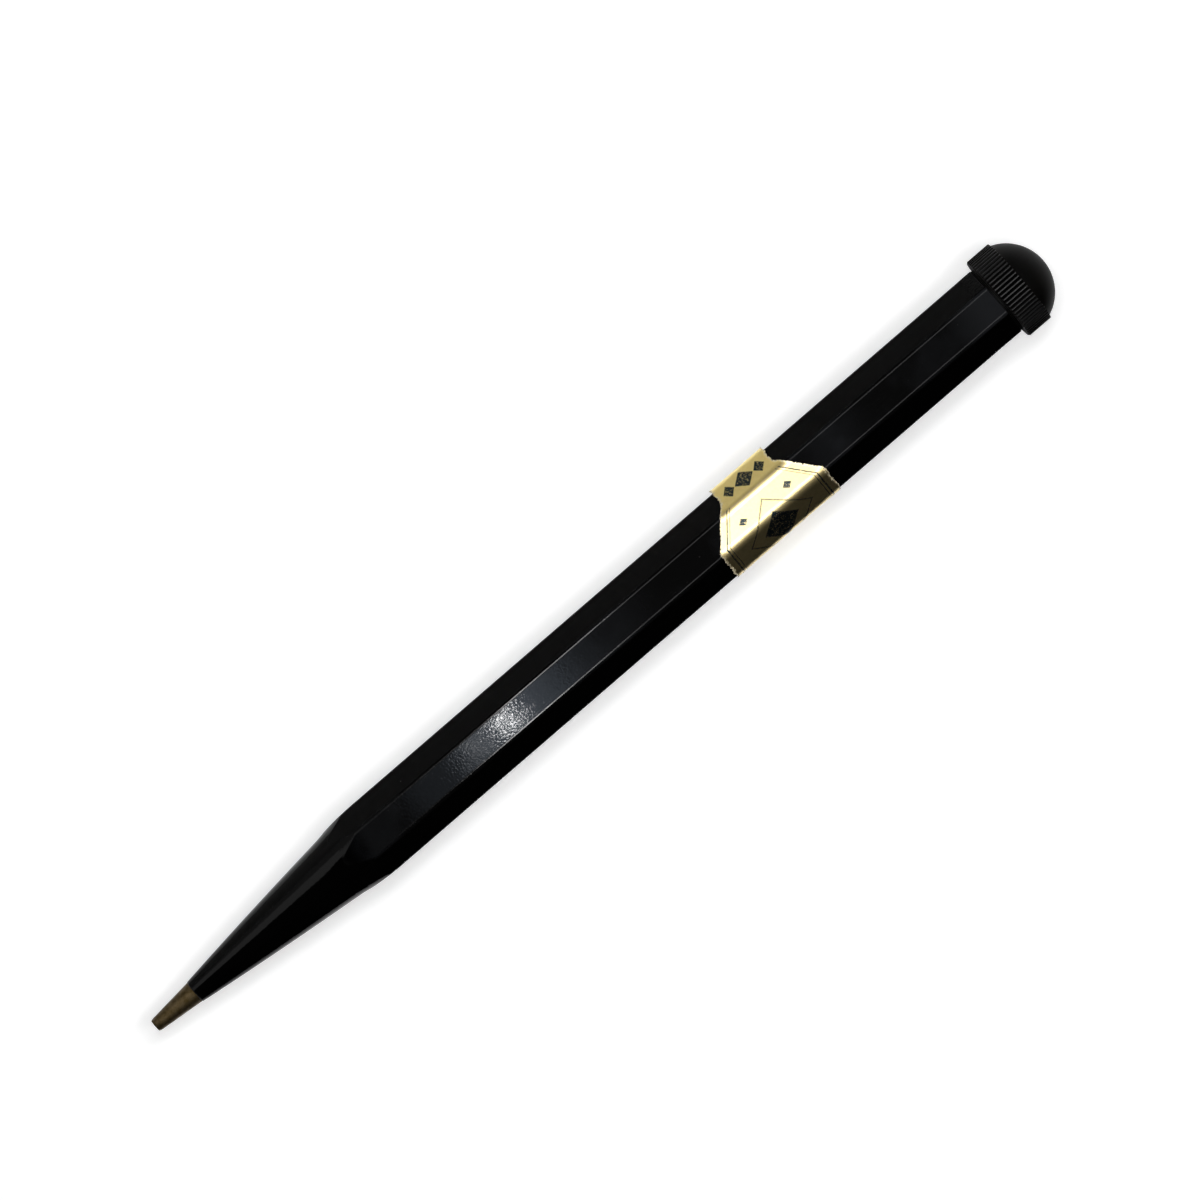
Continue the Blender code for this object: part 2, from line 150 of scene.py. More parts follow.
# Foil band; its waves are feature size, weight, and row and layer in the noise
FOIL_OUTER = 0.14 * MM
FOIL_THICKNESS = 0.025 * MM
FOIL_ROUND = 1.90 * MM
STRIP_HALF = 3.85 * MM
SLANT_START = 2.25 * MM
SLANT_END = 7.00 * MM
LOOSE_LIFT = 0.28 * MM
LOOSE_START = math.radians(75)
LOOSE_END = math.radians(130)
END_GAP = 0.002
FOIL_ROWS = 30
FOIL_COLUMNS = 28
FOIL_WAVES = ((0.9 * MM, 1.0, 7, 0), (0.25 * MM, 0.8, 3, 5))
FOIL_WAVER = 0.17 * MM
WAVER_POWER = 12
FOIL_LIFT = 0.08 * MM
LIFT_BASE = 0.6
LIFT_POWER = 30
WRAP_SPAN = 40 * MM

# Meshes: how near points are to count as one or as level, and edges that stay sharp
MERGE_DISTANCE = MM / 10000
LEVEL_DISTANCE = MM / 1000
SHARP_ANGLE = math.radians(35)
KNOB_SHARP_ANGLE = math.radians(30)
FOIL_SHARP_ANGLE = math.radians(50)

FACET_ANGLE = 2 * math.pi / FACET_COUNT
BADGE_ANGLE = -FACET_ANGLE

facet_tip = barrel_front + FRONT_LENGTH
ridge_end = facet_tip + FACET_RUNOUT
roll_end = facet_tip + FACET_ROLL_LENGTH


# Shapes

def spot(x, radius, angle):
    """A point by its place along the pencil, distance from the axis and angle from straight up."""
    return Vector((x, radius * math.sin(angle), axis_height + radius * math.cos(angle)))


def round_axis(point):
    """A point's distance from the axis and its angle from straight up."""
    rise = point.z - axis_height
    return math.hypot(point.y, rise), math.atan2(point.y, rise)


def shares(count):
    """Even steps from 0 to 1."""
    return [step / count for step in range(count + 1)]


def between(start, end, share):
    """A value that lies this share of the way from the start to the end."""
    return start + (end - start) * share


def facet_offset(angle):
    """Angle from the middle of the nearest facet."""
    return abs((angle + FACET_ANGLE / 2) % FACET_ANGLE - FACET_ANGLE / 2)


def half_flat(flat, rounding):
    """Half the width that the rounded ridges leave of a facet."""
    return (flat - rounding) * math.tan(FACET_ANGLE / 2)


def section_radius(angle, flat, rounding):
    """Distance from the axis to the outline of an octagon with rounded ridges."""
    offset = facet_offset(angle)
    centre = flat - rounding
    reach = half_flat(flat, rounding)
    if flat * math.tan(offset) <= reach:
        return flat / math.cos(offset)
    along = centre * math.cos(offset) + reach * math.sin(offset)
    across = reach * math.cos(offset) - centre * math.sin(offset)
    return along + math.sqrt(max(0, rounding**2 - across**2))


def section_angles(flat, rounding, columns):
    """Angles of the columns round the octagon: across each flat, then over the ridge after it."""
    centre = flat - rounding
    reach = half_flat(flat, rounding)
    inner = reach - FLAT_BORDER
    places = [-reach] + [inner * (2 * share - 1) for share in shares(columns)] + [reach]
    offsets = [math.atan2(place, flat) for place in places]
    for step in range(1, ROUND_COLUMNS):
        turn = FACET_ANGLE * step / ROUND_COLUMNS
        across = reach + rounding * math.sin(turn)
        along = centre + rounding * math.cos(turn)
        offsets.append(math.atan2(across, along))
    return [FACET_ANGLE * facet + offset for facet in range(FACET_COUNT) for offset in offsets]


def next_row(bm, row, closed):
    """Extrude a row of vertices and return the new row in the same order."""
    ends = row[1:] + row[:1] if closed else row[1:]
    edges = [bm.edges.get(pair) for pair in zip(row, ends)]
    made = bmesh.ops.extrude_edge_only(bm, edges=edges)["geom"]
    fresh = {item for item in made if isinstance(item, bmesh.types.BMVert)}
    return [next(e.other_vert(v) for e in v.link_edges if e.other_vert(v) in fresh) for v in row]


def turn_profile(profile, steps):
    """Spin an outline of (place along the pencil, radius) points into a closed turned body."""
    bm = bmesh.new()
    points = [bm.verts.new(spot(x, radius, 0)) for x, radius in profile]
    for pair in zip(points, points[1:]):
        bm.edges.new(pair)
    if profile[0][1] > 0:
        bm.edges.new((points[-1], points[0]))
    bmesh.ops.spin(
        bm,
        geom=bm.verts[:] + bm.edges[:],
        cent=(0, 0, axis_height),
        axis=(1, 0, 0),
        angle=2 * math.pi,
        steps=steps,
        use_merge=True,
    )
    bmesh.ops.remove_doubles(bm, verts=bm.verts, dist=MERGE_DISTANCE)
    return bm


def add_object(name, bm, material):
    """Put a mesh in the scene, at the origin."""
    mesh = bpy.data.meshes.new(name)
    bm.to_mesh(mesh)
    bm.free()
    mesh.materials.append(material)
    piece = bpy.data.objects.new(name, mesh)
    bpy.context.scene.collection.objects.link(piece)
    return piece


def finish_piece(name, bm, material, body, node, sharp_angle=SHARP_ANGLE):
    """Make the object, shade it smooth up to the sharp angle, tie it to its body and hide its CAD
    node.
    """
    bmesh.ops.recalc_face_normals(bm, faces=bm.faces)
    for face in bm.faces:
        face.smooth = True
    for edge in bm.edges:
        if len(edge.link_faces) == 2 and edge.calc_face_angle() > sharp_angle:
            edge.smooth = False
    piece = add_object(name, bm, material)
    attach(piece, body)
    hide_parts(node)


def facet_distance(x):
    """Distance of a facet from the axis: level along the barrel, rolled in towards its tip."""
    share = min(1, max(0, roll_end - x) / FACET_ROLL_LENGTH)
    return flat_radius - FACET_ROLL_DEPTH * share**2


def turned_radius(x, angle):
    """Radius of the turned front: the taper, a lip below each facet's tip, then the run-out.

    Between the facets' tips the lip gives way to a soft swell at the end of the taper.
    """
    lip = max(0, 1 - facet_offset(angle) / LIP_SPREAD)
    rise = LIP_RISE * FACET_LIP
    lip_end = facet_tip + FACET_LIP
    cone_end = flat_radius - FACET_ROLL_DEPTH - FACET_LIP
    if x <= facet_tip:
        share = (x - barrel_front) / FRONT_LENGTH
        cone = between(FRONT_RADIUS, cone_end, share) + 4 * FRONT_BULGE * share * (1 - share)
        swell = (1 - lip) * rise * max(0, 1 - (facet_tip - x) / RUNOUT_LEAD) ** 2
        return cone + swell
    if x <= lip_end:
        return cone_end + rise * (1 - lip + lip * (x - facet_tip) / FACET_LIP)
    ridge_radius = facet_distance(ridge_end) / math.cos(FACET_ANGLE / 2)
    return between(cone_end + rise, ridge_radius, (x - lip_end) / (ridge_end - lip_end))


def scallop_place(angle):
    """Place along the pencil where the turned front meets the facets at this angle."""
    low, high = facet_tip, ridge_end
    for _ in range(SEARCH_STEPS):
        middle = (low + high) / 2
        facet_radius = section_radius(angle, facet_distance(middle), RIDGE_ROUND)
        if turned_radius(middle, angle) < facet_radius:
            low = middle
        else:
            high = middle
    return high


def quarter_round(size, count):
    """(inset, setback) steps of a rounded edge, from the side to the end face."""
    turns = [math.pi / 2 * share for share in shares(count)]
    return [(size * (1 - math.cos(turn)), size * (1 - math.sin(turn))) for turn in turns]


def make_barrel(material):
    """Octagonal tube with rounded ridges, a turned front and scalloped facet ends."""
    angles = section_angles(flat_radius, RIDGE_ROUND, FLAT_COLUMNS)
    count = len(angles)
    meets = [scallop_place(angle) for angle in angles]
    reach = half_flat(flat_radius, RIDGE_ROUND)
    sides = [flat_radius * math.tan(facet_offset(angle)) for angle in angles]
    ridge_wear = [FULL_WEAR if side > reach else NO_WEAR for side in sides]
    bm = bmesh.new()
    wear = bm.verts.layers.float.new("wear")
    row = bmesh.ops.create_circle(bm, segments=count, radius=1)["verts"]

    def spread(value):
        """A value for each column, from a list or from one value for all."""
        return value if isinstance(value, list) else [value] * count

    def lay(places, radii, wears):
        """Move the last row to its place."""
        columns = zip(row, spread(places), spread(radii), spread(wears), angles)
        for vert, place, radius, level, angle in columns:
            vert.co = spot(place, radius, angle)
            vert[wear] = level

    def add_row(places, radii, wears):
        """Extrude the last row and move the new one to its place."""
        nonlocal row
        row = next_row(bm, row, True)
        lay(places, radii, wears)

    def facet_radii(places):
        """Radii of the facets and their ridges at a place for each column."""
        columns = zip(angles, places)
        return [section_radius(angle, facet_distance(x), RIDGE_ROUND) for angle, x in columns]

    cone_start = barrel_front + FRONT_EDGE
    cone_end = facet_tip - RUNOUT_LEAD
    lay(barrel_front, FRONT_RADIUS - FRONT_EDGE, FRONT_WEAR)
    add_row(cone_start, FRONT_RADIUS, FRONT_WEAR)
    for share in shares(CONE_ROWS)[1:]:
        place = between(cone_start, cone_end, share)
        add_row(place, [turned_radius(place, angle) for angle in angles], NO_WEAR)
    for share in shares(RUNOUT_ROWS)[1:]:
        places = [between(cone_end, meet - SCALLOP_EDGE, share) for meet in meets]
        radii = [turned_radius(x, angle) for x, angle in zip(places, angles)]
        add_row(places, radii, NO_WEAR)
    for setback in (0, SCALLOP_EDGE):
        places = [meet + setback for meet in meets]
        add_row(places, facet_radii(places), SCALLOP_WEAR)
    rolled = (places, roll_end, SCALLOP_ROWS)
    level_part = ([roll_end] * count, barrel_rear - REAR_EDGE, LENGTH_ROWS)
    for starts, end, steps in (rolled, level_part):
        for share in shares(steps)[1:]:
            places = [between(start, end, share) for start in starts]
            add_row(places, facet_radii(places), ridge_wear)
    for inset, setback in quarter_round(REAR_EDGE, REAR_EDGE_ROWS)[1:]:
        radii = [section_radius(angle, flat_radius, RIDGE_ROUND) - inset for angle in angles]
        add_row(barrel_rear - setback, radii, FULL_WEAR)
    shoulder = facet_tip + SHOULDER_SETBACK
    rear_shoulder = barrel_rear - REAR_BORE_DEPTH
    inside = [
        (barrel_rear, REAR_BORE_RADIUS + FRONT_EDGE),
        (barrel_rear - FRONT_EDGE, REAR_BORE_RADIUS),
        (rear_shoulder, REAR_BORE_RADIUS),
        (rear_shoulder, BORE_RADIUS),
        (shoulder, BORE_RADIUS),
        (shoulder, FRONT_HOLE_RADIUS),
        (barrel_front, FRONT_HOLE_RADIUS),
        (barrel_front, FRONT_RADIUS - FRONT_EDGE),
    ]
    for x, radius in inside:
        add_row(x, radius, NO_WEAR)
    bmesh.ops.remove_doubles(bm, verts=bm.verts, dist=MERGE_DISTANCE)
    finish_piece("barrel_shell", bm, material, "holder", "barrel")


def make_nozzle(material):
    """Turned brass tip with its hole and the tail tube behind it."""
    base = barrel_front
    cone_start = base - NOZZLE_BASE_EDGE
    cone_end = tip_x + NOZZLE_TIP_EDGE
    hole_end = tip_x + NOSE_HOLE_LENGTH
    slope = (NOZZLE_BASE_RADIUS - NOZZLE_TIP_RADIUS) / (base - tip_x)
    profile = [(nozzle_rear, TAIL_BORE), (nozzle_rear, TAIL_RADIUS), (base, TAIL_RADIUS)]
    profile += [(base, NOZZLE_BASE_RADIUS - NOZZLE_BASE_EDGE), (cone_start, NOZZLE_BASE_RADIUS)]
    for share in shares(NOZZLE_ROWS)[1:]:
        x = between(cone_start, cone_end, share)
        profile.append((x, NOZZLE_TIP_RADIUS + slope * (x - tip_x)))
    for inset, setback in quarter_round(NOZZLE_TIP_EDGE, NOZZLE_TIP_ROWS)[1:]:
        thinning = inset * NOZZLE_TIP_WALL / NOZZLE_TIP_EDGE
        profile.append((tip_x + setback, NOZZLE_TIP_RADIUS - thinning))
    profile += [(tip_x + NOZZLE_BASE_EDGE / 2, NOSE_HOLE_RADIUS), (hole_end, NOSE_HOLE_RADIUS)]
    profile += [(hole_end + NOSE_HOLE_RADIUS / 2, TAIL_BORE)]
    bm = turn_profile(profile, NOZZLE_STEPS)
    finish_piece("nozzle_tip", bm, material, "holder", "nozzle")


def make_knob(material):
    """Rim with rounded ribs, a domed end, and a low boss round the bore for the plug."""
    rim_rear = knob_front + RIM_HEIGHT
    boss_front = knob_front - BOSS_HEIGHT
    dome_radius = rim_radius - DOME_INSET
    dome_height = knob_rear - rim_rear
    sphere = (dome_radius**2 + dome_height**2) / (2 * dome_height)
    last_turn = math.asin(dome_radius / sphere)
    profile = []
    for share in shares(DOME_ROWS):
        turn = last_turn * share
        profile.append((knob_rear - sphere * (1 - math.cos(turn)), sphere * math.sin(turn)))
    profile.append((rim_rear, rim_radius - RIB_END))
    for share in shares(RIM_ROWS):
        place = between(rim_rear - RIB_END, knob_front + RIM_EDGE, share)
        profile.append((place, rim_radius))
    profile += [(knob_front, rim_radius - RIM_EDGE), (knob_front, BOSS_RADIUS)]
    profile += [(boss_front, BOSS_RADIUS), (boss_front, PLUG_BORE)]
    profile += [(plug_seat, PLUG_BORE), (plug_seat, 0)]
    bm = turn_profile(profile, RIB_COUNT * RIB_COLUMNS)
    crest = bm.verts.layers.float.new("crest")
    for vert in bm.verts:
        radius, angle = round_axis(vert.co)
        if radius > rim_radius - 2 * RIB_END:
            share = RIB_COUNT * angle / (2 * math.pi)
            valley = abs(2 * (share - round(share))) ** RIB_SHAPE
            vert.co = spot(vert.co.x, radius - RIB_DEPTH * valley, angle)
            vert[crest] = 1 - valley
    finish_piece("knob_cap", bm, material, "cap", "knob", KNOB_SHARP_ANGLE)


def extrude_ring(bm, faces, x, inset):
    """Extrude flat ring faces to another place along the pencil, thinner on both sides."""
    made = bmesh.ops.extrude_face_region(bm, geom=faces)["geom"]
    middle = PLUG_RADIUS - PLUG_WALL / 2
    for vert in made:
        if isinstance(vert, bmesh.types.BMVert):
            radius, angle = round_axis(vert.co)
            vert.co = spot(x, radius - math.copysign(inset, radius - middle), angle)
    return [face for face in made if isinstance(face, bmesh.types.BMFace)]


def make_plug(material):
    """Brass plug held in the knob, slit into four spring fingers."""
    slit_end = barrel_rear
    bore = PLUG_RADIUS - PLUG_WALL
    profile = [(plug_seat, 0), (plug_seat, PLUG_RADIUS), (slit_end, PLUG_RADIUS)]
    profile += [(slit_end, bore), (knob_front, bore), (knob_front, 0)]
    bm = turn_profile(profile, PLUG_STEPS)
    fingers = []
    for face in bm.faces:
        if all(abs(vert.co.x - slit_end) < LEVEL_DISTANCE for vert in face.verts):
            angle = round_axis(face.calc_center_median())[1]
            turn = angle / (2 * math.pi / FINGER_COUNT)
            columns_off = abs(turn - round(turn)) * PLUG_STEPS / FINGER_COUNT
            if columns_off > SLIT_COLUMNS / 2:
                fingers.append(face)
    fingers = extrude_ring(bm, fingers, plug_front + PLUG_EDGE, 0)
    extrude_ring(bm, fingers, plug_front, PLUG_EDGE)
    finish_piece("plug_fingers", bm, material, "cap", "knob_plug")


def make_lead(material):
    """The lead in use, with a slightly rounded point."""
    front, rear = (corner.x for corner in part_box("lead"))
    profile = [(front, 0)]
    for inset, setback in reversed(quarter_round(LEAD_EDGE, LEAD_EDGE_ROWS)):
        profile.append((front + setback, LEAD_RADIUS - inset))
    profile += [(rear, LEAD_RADIUS), (rear, 0)]
    bm = turn_profile(profile, LEAD_STEPS)
    finish_piece("lead_rod", bm, material, "feed", "lead")


def foil_half(wrap):
    """Half the foil's length at a distance round the pencil from the middle of its badge."""
    share = (abs(wrap) - SLANT_START) / (SLANT_END - SLANT_START)
    return between(badge_half, STRIP_HALF, min(1, max(0, share)))


def loose_lift(offset):
    """How far the foil's loose end stands off, at an angle from the middle of its badge."""
    share = min(1, max(0, (offset - LOOSE_START) / (LOOSE_END - LOOSE_START)))
    return LOOSE_LIFT * share**2 * (3 - 2 * share)


def edge_waver(wrap, side):
    """Unevenness of the foil's front or rear edge at a distance round the pencil."""
    waver = 0
    for size, weight, noise_row, layer in FOIL_WAVES:
        place = Vector((wrap / size, math.copysign(noise_row, side), layer))
        waver += weight * noise.noise(place)
    return waver


def make_foil(material):
    """Thin printed foil wrapped over seven facets, with slightly uneven, lifted edges."""
    flat = flat_radius + FOIL_OUTER
    limit = FACET_ANGLE * (FACET_COUNT - 1) / 2
    angles = section_angles(flat, FOIL_ROUND, FOIL_COLUMNS)
    offsets = [(angle - BADGE_ANGLE + math.pi) % (2 * math.pi) - math.pi for angle in angles]
    offsets = sorted(offset for offset in offsets if abs(offset) < limit - END_GAP)
    offsets = [-limit] + offsets + [limit]
    turns = [BADGE_ANGLE + offset for offset in offsets]
    radii = [section_radius(turn, flat, FOIL_ROUND) for turn in turns]
    radii = [radius + loose_lift(offset) for radius, offset in zip(radii, offsets)]
    corners = [spot(0, radius, turn) for radius, turn in zip(radii, turns)]
    wraps = [0.0]
    for first, second in zip(corners, corners[1:]):
        wraps.append(wraps[-1] + (second - first).length)
    middle = wraps[offsets.index(min(offsets, key=abs))]
    bm = bmesh.new()
    wrap_uv = bm.loops.layers.uv.new("wrap")
    row = [bm.verts.new(corner) for corner in corners]
    for pair in zip(row, row[1:]):
        bm.edges.new(pair)
    print_places = {}

    def lay(share):
        """Move the last row to its place and note where its vertices are in the print."""
        side = 2 * share - 1
        for vert, wrap, radius, turn in zip(row, wraps, radii, turns):
            waver = edge_waver(wrap, side)
            half = foil_half(wrap - middle)
            uneven_half = half + FOIL_WAVER * waver * abs(side) ** WAVER_POWER
            lift = FOIL_LIFT * abs(side) ** LIFT_POWER * (LIFT_BASE + waver)
            vert.co = spot(foil_middle + uneven_half * side, radius + lift, turn)
            print_places[vert] = (wrap - middle, half * side)

    lay(0)
    for share in shares(FOIL_ROWS)[1:]:
        row = next_row(bm, row, False)
        lay(0.5 - 0.5 * math.cos(math.pi * share))
    for face in bm.faces:
        for loop in face.loops:
            wrap, along = print_places[loop.vert]
            loop[wrap_uv].uv = (0.5 + wrap / WRAP_SPAN, 0.5 + along / WRAP_SPAN)
    bmesh.ops.recalc_face_normals(bm, faces=bm.faces)
    centre = Vector((foil_middle, 0, axis_height))
    outward = sum(face.normal.dot(face.calc_center_median() - centre) for face in bm.faces)
    if outward < 0:
        bmesh.ops.reverse_faces(bm, faces=bm.faces)
    bmesh.ops.solidify(bm, geom=bm.faces[:], thickness=FOIL_THICKNESS)
    finish_piece(
        "foil_band", bm, material, "holder", "label_band", FOIL_SHARP_ANGLE
    )


# Finishes

class Wire:
    """A shader socket. Arithmetic on it adds Math nodes."""

    def __init__(self, finish, socket):
        self.finish = finish
        self.socket = socket

    def math(self, operation, *values):
        return self.finish.node("ShaderNodeMath", {"operation": operation}, dict(enumerate(values)))

    def __add__(self, other):
        return self.math("ADD", self, other)

    def __radd__(self, other):
        return self.math("ADD", other, self)

    def __sub__(self, other):
        return self.math("SUBTRACT", self, other)

    def __rsub__(self, other):
        return self.math("SUBTRACT", other, self)

    def __mul__(self, other):
        return self.math("MULTIPLY", self, other)

    def __rmul__(self, other):
        return self.math("MULTIPLY", other, self)

    def __truediv__(self, other):
        return self.math("DIVIDE", self, other)

    def __abs__(self):
        return self.math("ABSOLUTE", self)


class Finish:
    """A node tree and the short calls that add to it."""

    def __init__(self, tree):
        self.tree = tree
        self.tree.nodes.clear()

    def node(self, kind, settings=None, inputs=None, output=0):
        """Add a node with its settings and its sockets' values or links. Returns one output."""
        made = self.tree.nodes.new(kind)
        for key, value in (settings or {}).items():
            setattr(made, key, value)
        for key, value in (inputs or {}).items():
            if isinstance(value, Wire):
                self.tree.links.new(value.socket, made.inputs[key])
            else:
                made.inputs[key].default_value = value
        return Wire(self, made.outputs[output]) if made.outputs else None

    def place(self, stretch=(1, 1, 1)):
        """Object coordinates, stretched."""
        spots = self.node("ShaderNodeTexCoord", output="Object")
        return self.node("ShaderNodeMapping", None, {"Vector": spots, "Scale": stretch})

    def axis(self, vector, name):
        """One coordinate of a vector."""
        return self.node("ShaderNodeSeparateXYZ", None, {"Vector": vector}, name)

    def attribute(self, name):
        """A value kept in the mesh."""
        return self.node("ShaderNodeAttribute", {"attribute_name": name}, output="Fac")

    def cloud(self, vector, size, detail=3.0, roughness=0.5):
        """Soft noise with features of about this size."""
        inputs = {"Vector": vector, "Scale": 1 / size, "Detail": detail, "Roughness": roughness}
        return self.node("ShaderNodeTexNoise", None, inputs)

    def fade(self, value, low, high):
        """0 below low, 1 above high and a smooth step between; low may be above high."""
        if low > high:
            return 1 - self.fade(value, high, low)
        inputs = {"Value": value, "From Min": low, "From Max": high}
        return self.node("ShaderNodeMapRange", {"interpolation_type": "SMOOTHSTEP"}, inputs)

    def blend(self, share, first, second):
        """Mix two colours."""
        inputs = {"Factor": share, 6: first, 7: second}
        return self.node("ShaderNodeMix", {"data_type": "RGBA"}, inputs, 2)

    def bump(self, height, distance, under=None):
        """A bumped normal, on top of another one."""
        inputs = {"Height": height, "Distance": distance, "Strength": 1.0}
        if under:
            inputs["Normal"] = under
        return self.node("ShaderNodeBump", None, inputs)

    def surface(self, inputs):
        """The Principled shader and the material output."""
        shader = self.node("ShaderNodeBsdfPrincipled", None, inputs)
        self.node("ShaderNodeOutputMaterial", None, {"Surface": shader})

    def matte(self, level, glow):
        """A flat grey with a glow of its own, and the material output."""
        flat = self.node("ShaderNodeBsdfDiffuse", None, {"Color": grey(level)})
        shine = self.node("ShaderNodeEmission", None, {"Color": grey(1.0), "Strength": glow})
        both = self.node("ShaderNodeAddShader", None, {0: flat, 1: shine})
        self.node("ShaderNodeOutputMaterial", None, {"Surface": both})


def new_finish(name):
    """A fresh material and its node tree."""
    material = bpy.data.materials.new(name)
    material.use_nodes = True
    return material, Finish(material.node_tree)


def grey(level, warmth=0.0):
    """A grey, warmer or cooler."""
    return (level * (1 + warmth), level, level * (1 - warmth), 1)


# Barrel: patches of painted sheen on the top facet as middle and half length, length of the painted
# sheen on the top facet at the rear end, and depths of the bumps
TOP_SHEEN_PATCHES = ((1.5 * MM, 9 * MM), (35 * MM, 7 * MM))
REAR_SHEEN_LENGTH = 8 * MM
TOP_SHEEN_COLOUR = (0.0100, 0.0108, 0.0125, 1)
REAR_SHEEN_COLOUR = (0.0100, 0.0106, 0.0120, 1)
DUST_SPACING = 2.2 * MM
PEEL_DEPTH = 5.3 * MICRON
SWELL_DEPTH = 4.0 * MICRON
SCRATCH_DEPTH = 0.25 * MICRON


def barrel_black():
    """Black polished plastic with a faint orange-peel surface, fine scratches, worn ridges and a
    painted bluish sheen on the top facet.
    """
    material, paint = new_finish("barrel_black")
    spots = paint.place()
    peel = paint.cloud(spots, 0.23 * MM, 1)
    swell = paint.cloud(spots, 2.5 * MM, 2)
    place_x = paint.axis(spots, "X")
    top = axis_height + flat_radius
    on_top = paint.fade(paint.axis(spots, "Z"), top - 0.20 * MM, top - 0.05 * MM)
    # Painted sheen: a lighter bluish tone on the top facet only, near the rear end.
    painted_rear_sheen = on_top * paint.fade(place_x, barrel_rear - REAR_SHEEN_LENGTH, barrel_rear - MM)
    # Painted sheen: lighter bluish patches on the top facet only, standing in for light that this
    # facet reflects.
    painted_top_sheen = 0.25 * paint.fade(paint.cloud(spots, 6 * MM, 3), 0.45, 0.68)
    for middle, half in TOP_SHEEN_PATCHES:
        painted_top_sheen = painted_top_sheen + 0.4 * paint.fade(abs(place_x - middle), half, 0)
    painted_top_sheen = on_top * painted_top_sheen * (0.4 + 1.2 * paint.cloud(spots, 2 * MM, 3))
    along = paint.place((0.04, 1, 1))
    scratch = paint.fade(paint.cloud(along, 0.12 * MM, 2, 0.7), 0.60, 0.70)
    patch = paint.fade(paint.cloud(spots, 5 * MM, 3), 0.42, 0.62)
    chips = paint.fade(paint.cloud(paint.place((0.25, 1, 1)), 0.4 * MM, 4, 0.7), 0.30, 0.62)
    worn = paint.attribute("wear") * (0.35 + 0.65 * chips)
    scatter = {"Vector": spots, "Scale": 1 / DUST_SPACING}
    flecks = paint.node("ShaderNodeTexVoronoi", {"feature": "F1"}, scatter)
    dust = paint.fade(flecks, 0.045, 0.025)
    # The painted sheen lightens the black towards bluish grey on the top facet.
    colour = paint.blend(painted_top_sheen, grey(0.0005), TOP_SHEEN_COLOUR)
    colour = paint.blend(painted_rear_sheen, colour, REAR_SHEEN_COLOUR)
    colour = paint.blend(worn * 0.12, colour, grey(0.012))
    colour = paint.blend(dust * 0.5 * patch, colour, grey(0.06, 0.05))
    normal = paint.bump(peel, PEEL_DEPTH)
    normal = paint.bump(swell, SWELL_DEPTH, normal)
    normal = paint.bump(scratch, -SCRATCH_DEPTH, normal)
    paint.surface({
        "Base Color": colour,
        "Roughness": 0.06 + 0.02 * patch + 0.10 * scratch * patch + 0.06 * worn,
        "Specular IOR Level": 0.08,
        "Normal": normal,
    })
    return material


# Depth of the grain of the knob and of the lead
GRAIN_DEPTH = 3.0 * MICRON


def knob_black():
    """Matte black moulded plastic, slightly warm, with the tops of the ribs lighter: partly rubbed
    wear, partly a painted highlight.
    """
    material, paint = new_finish("knob_black")
    spots = paint.place()
    grain = paint.cloud(spots, 0.12 * MM, 3, 0.6)
    patch = paint.cloud(spots, 3 * MM, 3)
    # Lighter rib crests: partly rubbed wear, partly a painted highlight along the crests.
    rubbed = paint.fade(paint.attribute("crest"), 0.92, 1.0) * (0.6 + 0.8 * patch)
    colour = paint.blend(paint.fade(patch, 0.35, 0.7), grey(0.0004, 0.10), grey(0.0012, 0.25))
    colour = paint.blend(rubbed, colour, grey(0.006))
    paint.surface({
        "Base Color": colour,
        "Roughness": 0.46 + 0.14 * patch,
        "Specular IOR Level": 0.065,
        "Coat Weight": rubbed * 0.5,
        "Coat Roughness": 0.3,
        "Normal": paint.bump(grain, GRAIN_DEPTH),
    })
    return material


# Metals: bright and dull colour, stretch and depth of the tool lines, roughness, tarnish size
LINES_ROUND = (1, 0.03, 0.03)
LINES_ALONG = (0.03, 1, 1)
DULL_BRASS = ((0.085, 0.062, 0.032), (0.045, 0.031, 0.011))
BRASS = ((0.56, 0.42, 0.18), (0.34, 0.25, 0.11))
STEEL = ((0.55, 0.55, 0.56), (0.36, 0.36, 0.37))
METALS = {
    "dull_brass": (*DULL_BRASS, LINES_ROUND, 2.0 * MICRON, 0.44, 0.8 * MM),
    "brass": (*BRASS, LINES_ALONG, 1.5 * MICRON, 0.26, 2.5 * MM),
    "steel": (*STEEL, LINES_ALONG, 1.2 * MICRON, 0.24, 2.0 * MM),
}


def metal_finish(name, bright, dull, line_stretch, line_depth, roughness, tarnish_size):
    """Worked metal: fine tool lines along one direction and soft tarnish."""
    material, paint = new_finish(name)
    spots = paint.place()
    lines = paint.cloud(paint.place(line_stretch), 0.05 * MM, 3, 0.6)
    tarnish = paint.fade(paint.cloud(spots, tarnish_size, 4, 0.6), 0.35, 0.68)
    specks = paint.fade(paint.cloud(spots, 0.18 * MM, 3, 0.6), 0.55, 0.75)
    colour = paint.blend(tarnish, (*bright, 1), (*dull, 1))
    colour = paint.blend(specks * 0.45, colour, (*[level * 0.35 for level in dull], 1))
    paint.surface({
        "Base Color": colour,
        "Metallic": 1.0,
        "Roughness": roughness + 0.10 * tarnish + 0.08 * specks,
        "Normal": paint.bump(lines, line_depth),
    })
    return material


def graphite():
    """Pressed graphite with a faint metallic sheen."""
    material, paint = new_finish("graphite")
    grain = paint.cloud(paint.place((0.3, 1, 1)), 0.06 * MM, 4, 0.6)
    paint.surface({
        "Base Color": paint.blend(grain, grey(0.022), grey(0.065, -0.03)),
        "Metallic": 0.35,
        "Roughness": 0.36 + 0.2 * grain,
        "Normal": paint.bump(grain, GRAIN_DEPTH),
    })
    return material


